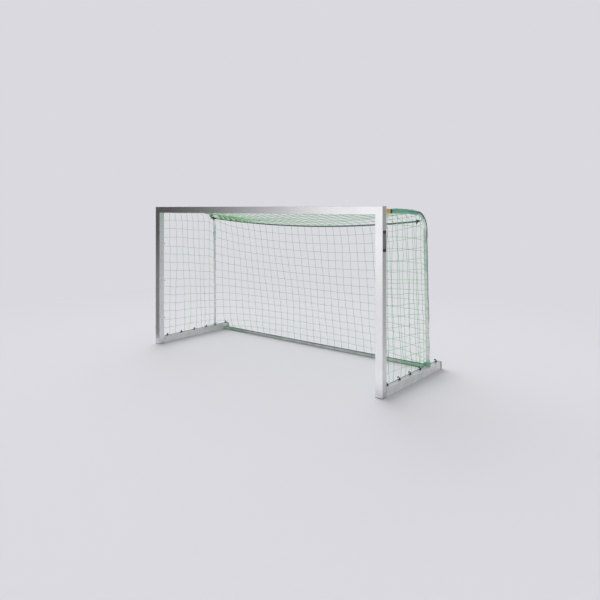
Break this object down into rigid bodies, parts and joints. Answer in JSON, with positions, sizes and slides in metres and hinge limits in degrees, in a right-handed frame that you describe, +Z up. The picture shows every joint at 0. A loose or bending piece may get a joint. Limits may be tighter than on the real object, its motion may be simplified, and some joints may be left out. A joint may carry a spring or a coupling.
{
  "type": "soccer goal",
  "caption": "Small free-standing soccer goal: square-section frame on ground bars, curved net brackets and a net held by turning hooks.",
  "frame": {"origin": "on the ground, in the middle of the goal's width and depth", "axes": "+X to the right post seen from the front, +Y from the mouth to the rear, +Z up"},
  "size_m": [3.15, 1.22, 1.675],
  "materials": {
    "aluminium": "matt anodised, brushed along the section",
    "tube": "drawn tube, dull",
    "black_plastic": "moulded",
    "grey_plastic": "moulded",
    "orange_plastic": "moulded",
    "hook_plastic": "moulded",
    "net_cord": "twisted cord",
    "rope": "laid rope"
  },
  "bodies": {
    "goal_frame": {"crossbar": "aluminium", "rear_ground_tube": "tube", "rear_top_rope": "rope", "net_back": "net_cord", "net_roof": "net_cord", "net_left": "net_cord", "net_right": "net_cord", "left_post": "aluminium", "left_ground_bar": "aluminium", "left_net_bracket": "tube", "left_post_foot_plug": "black_plastic", "left_bracket_collar": "black_plastic", "left_bracket_foot_socket": "black_plastic", "left_corner_clip": "black_plastic", "left_bar_end_plug": "grey_plastic", "left_bracket_sleeve": "orange_plastic", "right_post": "aluminium", "right_ground_bar": "aluminium", "right_net_bracket": "tube", "right_post_foot_plug": "black_plastic", "right_bracket_collar": "black_plastic", "right_bracket_foot_socket": "black_plastic", "right_corner_clip": "black_plastic", "right_bar_end_plug": "grey_plastic", "right_bracket_sleeve": "orange_plastic"},
    "left_bar_hook_1": {"left_bar_hook_1": "hook_plastic"},
    "left_bar_hook_2": {"left_bar_hook_2": "hook_plastic"},
    "left_bar_hook_3": {"left_bar_hook_3": "hook_plastic"},
    "left_bar_hook_4": {"left_bar_hook_4": "hook_plastic"},
    "left_bar_hook_5": {"left_bar_hook_5": "hook_plastic"},
    "left_post_hook_1": {"left_post_hook_1": "hook_plastic"},
    "left_post_hook_2": {"left_post_hook_2": "hook_plastic"},
    "left_post_hook_3": {"left_post_hook_3": "hook_plastic"},
    "right_bar_hook_1": {"right_bar_hook_1": "hook_plastic"},
    "right_bar_hook_2": {"right_bar_hook_2": "hook_plastic"},
    "right_bar_hook_3": {"right_bar_hook_3": "hook_plastic"},
    "right_bar_hook_4": {"right_bar_hook_4": "hook_plastic"},
    "right_bar_hook_5": {"right_bar_hook_5": "hook_plastic"},
    "right_post_hook_1": {"right_post_hook_1": "hook_plastic"},
    "right_post_hook_2": {"right_post_hook_2": "hook_plastic"},
    "right_post_hook_3": {"right_post_hook_3": "hook_plastic"},
    "crossbar_hook_1": {"crossbar_hook_1": "hook_plastic"},
    "crossbar_hook_2": {"crossbar_hook_2": "hook_plastic"},
    "crossbar_hook_3": {"crossbar_hook_3": "hook_plastic"},
    "crossbar_hook_4": {"crossbar_hook_4": "hook_plastic"},
    "crossbar_hook_5": {"crossbar_hook_5": "hook_plastic"}
  },
  "joints": [
    {"name": "left_bar_hook_1_turn", "type": "hinge", "parent": "goal_frame", "child": "left_bar_hook_1", "pos_m": [-1.5375, -0.46, 0.0753], "axis": [0, 0, -1], "range_deg": [0, 90]},
    {"name": "left_bar_hook_2_turn", "type": "hinge", "parent": "goal_frame", "child": "left_bar_hook_2", "pos_m": [-1.5375, -0.235, 0.0753], "axis": [0, 0, -1], "range_deg": [0, 90]},
    {"name": "left_bar_hook_3_turn", "type": "hinge", "parent": "goal_frame", "child": "left_bar_hook_3", "pos_m": [-1.5375, -0.02, 0.0753], "axis": [0, 0, -1], "range_deg": [0, 90]},
    {"name": "left_bar_hook_4_turn", "type": "hinge", "parent": "goal_frame", "child": "left_bar_hook_4", "pos_m": [-1.5375, 0.19, 0.0753], "axis": [0, 0, -1], "range_deg": [0, 90]},
    {"name": "left_bar_hook_5_turn", "type": "hinge", "parent": "goal_frame", "child": "left_bar_hook_5", "pos_m": [-1.5375, 0.55, 0.0753], "axis": [0, 0, -1], "range_deg": [0, 90]},
    {"name": "left_post_hook_1_turn", "type": "hinge", "parent": "goal_frame", "child": "left_post_hook_1", "pos_m": [-1.5375, -0.5347, 0.30956], "axis": [0, -1, 0], "range_deg": [0, 90]},
    {"name": "left_post_hook_2_turn", "type": "hinge", "parent": "goal_frame", "child": "left_post_hook_2", "pos_m": [-1.5375, -0.5347, 0.76649], "axis": [0, -1, 0], "range_deg": [0, 90]},
    {"name": "left_post_hook_3_turn", "type": "hinge", "parent": "goal_frame", "child": "left_post_hook_3", "pos_m": [-1.5375, -0.5347, 1.22342], "axis": [0, -1, 0], "range_deg": [0, 90]},
    {"name": "right_bar_hook_1_turn", "type": "hinge", "parent": "goal_frame", "child": "right_bar_hook_1", "pos_m": [1.5375, -0.46, 0.0753], "axis": [0, 0, 1], "range_deg": [0, 90]},
    {"name": "right_bar_hook_2_turn", "type": "hinge", "parent": "goal_frame", "child": "right_bar_hook_2", "pos_m": [1.5375, -0.235, 0.0753], "axis": [0, 0, 1], "range_deg": [0, 90]},
    {"name": "right_bar_hook_3_turn", "type": "hinge", "parent": "goal_frame", "child": "right_bar_hook_3", "pos_m": [1.5375, -0.02, 0.0753], "axis": [0, 0, 1], "range_deg": [0, 90]},
    {"name": "right_bar_hook_4_turn", "type": "hinge", "parent": "goal_frame", "child": "right_bar_hook_4", "pos_m": [1.5375, 0.19, 0.0753], "axis": [0, 0, 1], "range_deg": [0, 90]},
    {"name": "right_bar_hook_5_turn", "type": "hinge", "parent": "goal_frame", "child": "right_bar_hook_5", "pos_m": [1.5375, 0.55, 0.0753], "axis": [0, 0, 1], "range_deg": [0, 90]},
    {"name": "right_post_hook_1_turn", "type": "hinge", "parent": "goal_frame", "child": "right_post_hook_1", "pos_m": [1.5375, -0.5347, 0.30956], "axis": [0, 1, 0], "range_deg": [0, 90]},
    {"name": "right_post_hook_2_turn", "type": "hinge", "parent": "goal_frame", "child": "right_post_hook_2", "pos_m": [1.5375, -0.5347, 0.76649], "axis": [0, 1, 0], "range_deg": [0, 90]},
    {"name": "right_post_hook_3_turn", "type": "hinge", "parent": "goal_frame", "child": "right_post_hook_3", "pos_m": [1.5375, -0.5347, 1.22342], "axis": [0, 1, 0], "range_deg": [0, 90]},
    {"name": "crossbar_hook_1_turn", "type": "hinge", "parent": "goal_frame", "child": "crossbar_hook_1", "pos_m": [-1.14225, -0.5347, 1.6375], "axis": [0, 1, 0], "range_deg": [0, 90]},
    {"name": "crossbar_hook_2_turn", "type": "hinge", "parent": "goal_frame", "child": "crossbar_hook_2", "pos_m": [-0.57112, -0.5347, 1.6375], "axis": [0, 1, 0], "range_deg": [0, 90]},
    {"name": "crossbar_hook_3_turn", "type": "hinge", "parent": "goal_frame", "child": "crossbar_hook_3", "pos_m": [0, -0.5347, 1.6375], "axis": [0, 1, 0], "range_deg": [0, 90]},
    {"name": "crossbar_hook_4_turn", "type": "hinge", "parent": "goal_frame", "child": "crossbar_hook_4", "pos_m": [0.57112, -0.5347, 1.6375], "axis": [0, 1, 0], "range_deg": [0, 90]},
    {"name": "crossbar_hook_5_turn", "type": "hinge", "parent": "goal_frame", "child": "crossbar_hook_5", "pos_m": [1.14225, -0.5347, 1.6375], "axis": [0, 1, 0], "range_deg": [0, 90]}
  ]
}
